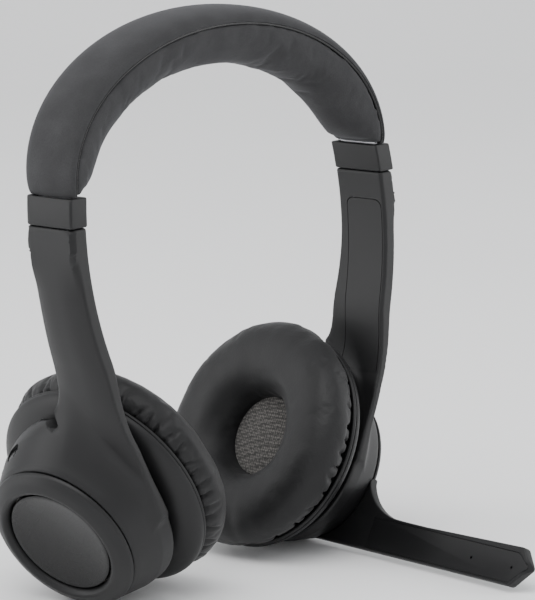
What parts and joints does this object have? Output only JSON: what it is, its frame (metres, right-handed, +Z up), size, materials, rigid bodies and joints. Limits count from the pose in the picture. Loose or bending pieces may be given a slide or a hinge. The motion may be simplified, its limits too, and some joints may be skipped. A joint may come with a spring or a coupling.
{
  "type": "office headset",
  "caption": "Wireless on-ear office headset: padded headband, sliding arms, gimballed round ear cups with leatherette cushions, swinging microphone boom.",
  "frame": {"origin": "underside of the headband pad at its crown, where the head carries the headset", "axes": "+Z up, -Y the way the wearer faces, +X the wearer's left, where the boom is"},
  "size_m": [0.136, 0.1305, 0.1655],
  "materials": {
    "band_fabric": "soft brushed knit over foam, matt charcoal",
    "satin_plastic": "moulded plastic with a fine satin grain",
    "gloss_plastic": "moulded plastic, smoother and darker",
    "leatherette": "soft polyurethane leatherette over foam",
    "scrim_mesh": "open knitted speaker cloth",
    "spring_steel": "rolled spring steel strip",
    "plated_metal": "plated pressed steel and die-cast zinc",
    "board": "fibreglass circuit board",
    "battery_foil": "aluminium pouch foil",
    "light_pipe": "clear moulded light pipe"
  },
  "bodies": {
    "headband": {"band_cable": "gloss_plastic", "band_cover": "band_fabric", "band_pad": "band_fabric", "band_spring": "spring_steel", "collar_left": "satin_plastic", "collar_right": "satin_plastic", "slider_blade_left": "spring_steel", "slider_blade_right": "spring_steel"},
    "arm_right": {"arm_inner_cover_right": "satin_plastic", "arm_shell_right": "satin_plastic", "charge_socket": "plated_metal", "cup_cap_right": "gloss_plastic", "main_board": "board", "outer_ring_right": "satin_plastic", "processor_chip": "gloss_plastic", "ring_washer_right": "plated_metal", "slider_bush_right": "gloss_plastic", "status_light": "light_pipe"},
    "arm_left": {"arm_inner_cover_left": "satin_plastic", "arm_shell_left": "satin_plastic", "battery_cell": "battery_foil", "cup_cap_left": "gloss_plastic", "ring_washer_left": "plated_metal", "slider_bush_left": "gloss_plastic"},
    "gimbal_right": {"gimbal_ring_right": "plated_metal"},
    "gimbal_left": {"gimbal_ring_left": "plated_metal"},
    "ear_right": {"baffle_right": "satin_plastic", "diaphragm_right": "gloss_plastic", "driver_right": "plated_metal", "ear_cushion_right": "leatherette", "rim_ring_right": "satin_plastic", "speaker_scrim_right": "scrim_mesh", "speaker_shell_right": "satin_plastic"},
    "ear_left": {"baffle_left": "satin_plastic", "diaphragm_left": "gloss_plastic", "driver_left": "plated_metal", "ear_cushion_left": "leatherette", "rim_ring_left": "satin_plastic", "speaker_scrim_left": "scrim_mesh", "speaker_shell_left": "satin_plastic"},
    "boom": {"boom_arm": "satin_plastic", "boom_inner_cover": "satin_plastic", "mic_board": "board", "mic_capsule_1": "plated_metal", "mic_capsule_2": "plated_metal"},
    "volume_up": {"volume_up_button": "gloss_plastic"},
    "call_key": {"call_button": "gloss_plastic"},
    "volume_down": {"volume_down_button": "gloss_plastic"},
    "power_slide": {"power_switch": "gloss_plastic"}
  },
  "joints": [
    {"name": "arm_slide_right", "type": "slide", "parent": "headband", "child": "arm_right", "axis": [0.0936, -0.1041, -0.9902], "range_m": [0, 0.025]},
    {"name": "gimbal_tilt_right", "type": "hinge", "parent": "arm_right", "child": "gimbal_right", "pos_m": [-0.04599, 0.00771, -0.12377], "axis": [-0.1132, 0.9936, 0], "range_deg": [-3, 3]},
    {"name": "ear_swivel_right", "type": "hinge", "parent": "gimbal_right", "child": "ear_right", "pos_m": [-0.04599, 0.00771, -0.12377], "axis": [-0.4402, -0.0502, 0.8965], "range_deg": [-3, 3]},
    {"name": "arm_slide_left", "type": "slide", "parent": "headband", "child": "arm_left", "axis": [-0.0936, -0.1041, -0.9902], "range_m": [0, 0.025]},
    {"name": "gimbal_tilt_left", "type": "hinge", "parent": "arm_left", "child": "gimbal_left", "pos_m": [0.04599, 0.00771, -0.12377], "axis": [0.1132, 0.9936, 0], "range_deg": [-3, 3]},
    {"name": "ear_swivel_left", "type": "hinge", "parent": "gimbal_left", "child": "ear_left", "pos_m": [0.04599, 0.00771, -0.12377], "axis": [0.4402, -0.0502, 0.8965], "range_deg": [-3, 3]},
    {"name": "boom_swing", "type": "hinge", "parent": "arm_left", "child": "boom", "pos_m": [0.0549, 0.0067, -0.1282], "axis": [-0.8907, 0.1015, 0.4431], "range_deg": [-20, 105]},
    {"name": "volume_up_press", "type": "slide", "parent": "arm_right", "child": "volume_up", "axis": [0.6727, -0.4609, -0.5788], "range_m": [0, 0.0005], "stiffness_N_per_m": 1500},
    {"name": "call_press", "type": "slide", "parent": "arm_right", "child": "call_key", "axis": [0.6077, -0.6883, -0.3961], "range_m": [0, 0.0005], "stiffness_N_per_m": 1500},
    {"name": "volume_down_press", "type": "slide", "parent": "arm_right", "child": "volume_down", "axis": [0.5091, -0.8454, -0.1617], "range_m": [0, 0.0005], "stiffness_N_per_m": 1500},
    {"name": "power_slide_travel", "type": "slide", "parent": "arm_right", "child": "power_slide", "axis": [0.4516, -0.3092, -0.8369], "range_m": [0, 0.002]}
  ]
}
